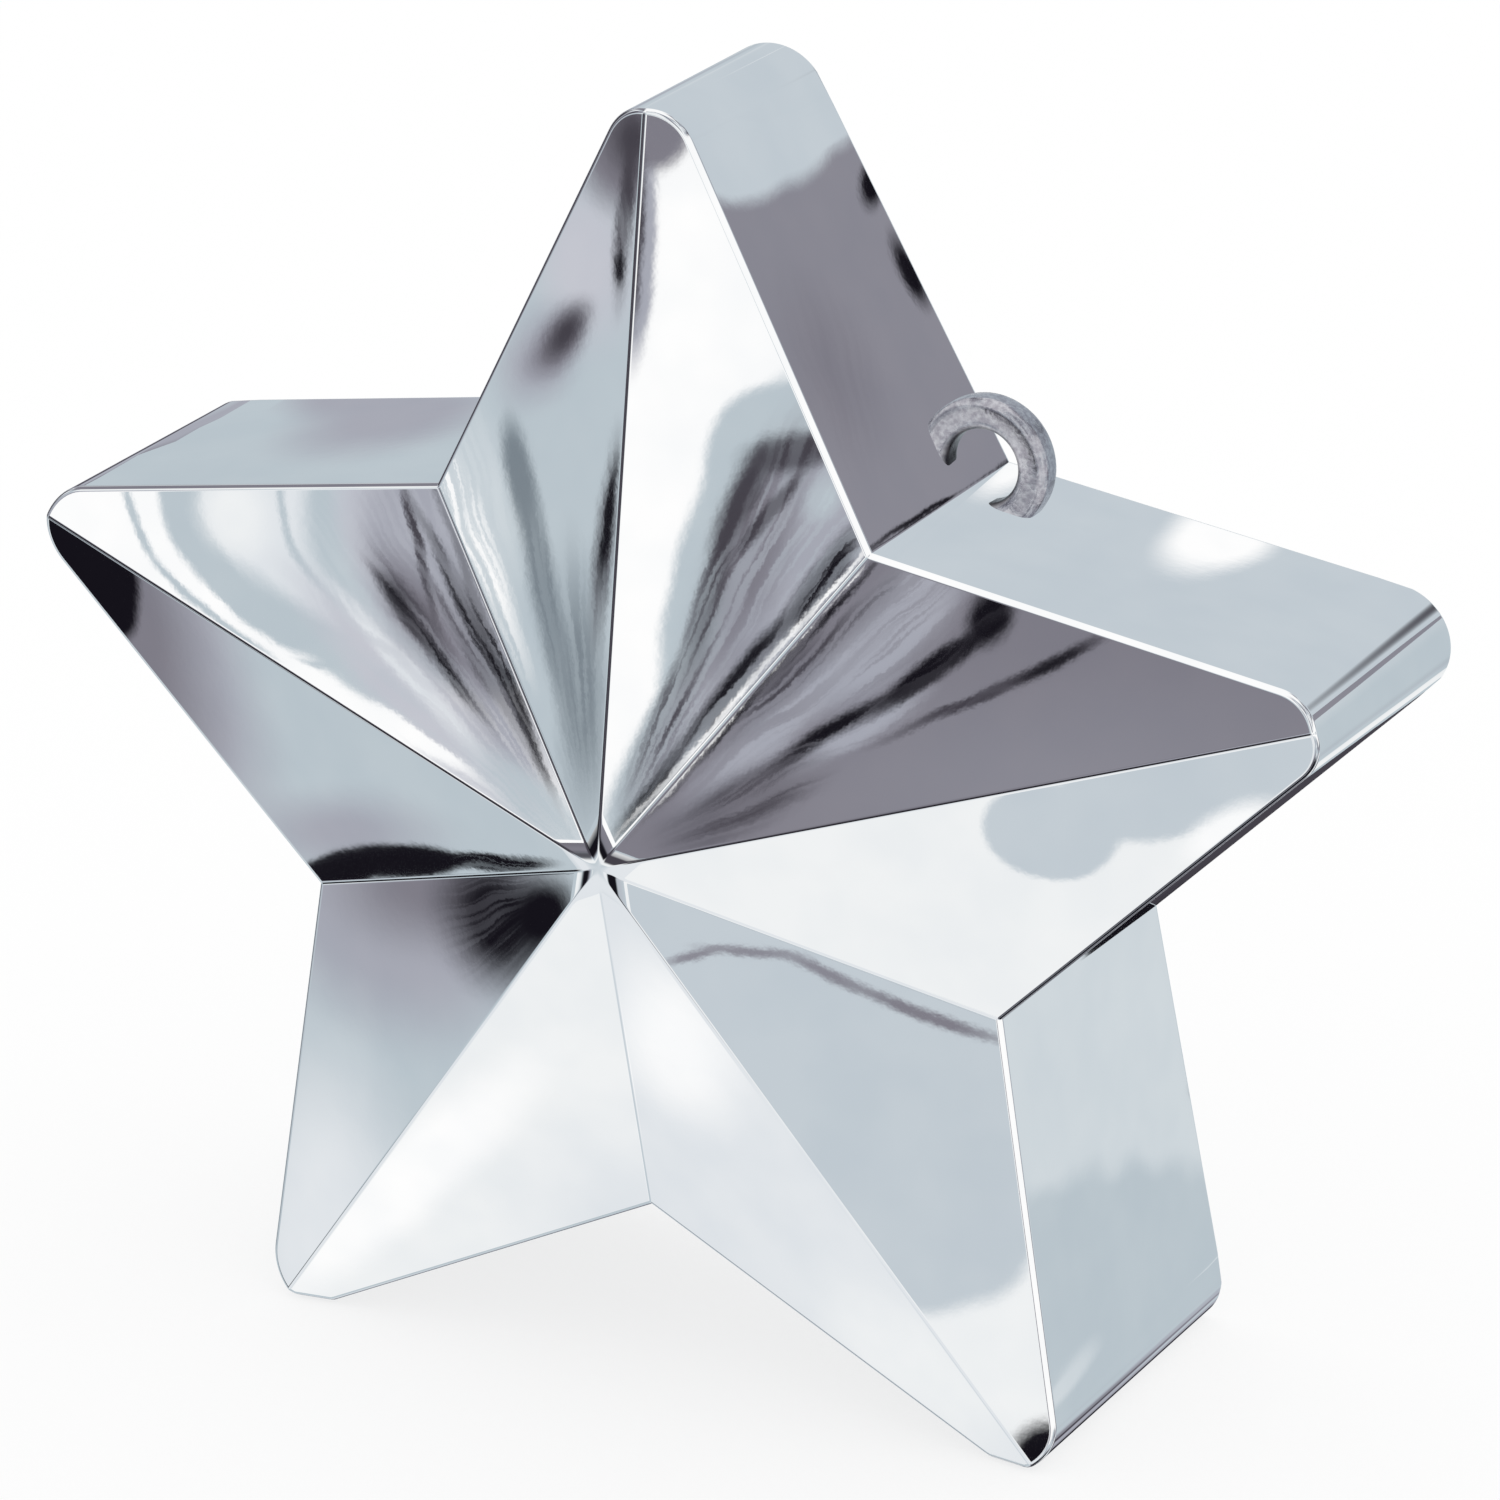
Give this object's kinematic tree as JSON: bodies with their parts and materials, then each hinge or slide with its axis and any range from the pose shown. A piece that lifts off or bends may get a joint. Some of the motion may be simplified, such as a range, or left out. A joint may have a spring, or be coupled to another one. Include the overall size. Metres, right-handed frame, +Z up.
{
  "type": "balloon weight",
  "caption": "Faceted star-shaped hollow weight filled with sand, standing on its lower points; a small eye between the arms takes the ribbons of helium balloons.",
  "frame": {"origin": "on the floor, under the middle of the star's width and depth", "axes": "+Z up, the faceted front faces -Y, +X to the right as seen from the front"},
  "size_m": [0.1002, 0.036, 0.0946],
  "materials": {
    "metallised_plastic": "polished",
    "plug_plastic": "satin",
    "sand": "matte"
  },
  "bodies": {
    "root": {"front_shell": "metallised_plastic", "ribbon_eye": "metallised_plastic", "back_cover": "metallised_plastic", "filler_plug": "plug_plastic", "sand_ballast": "sand"}
  },
  "joints": []
}
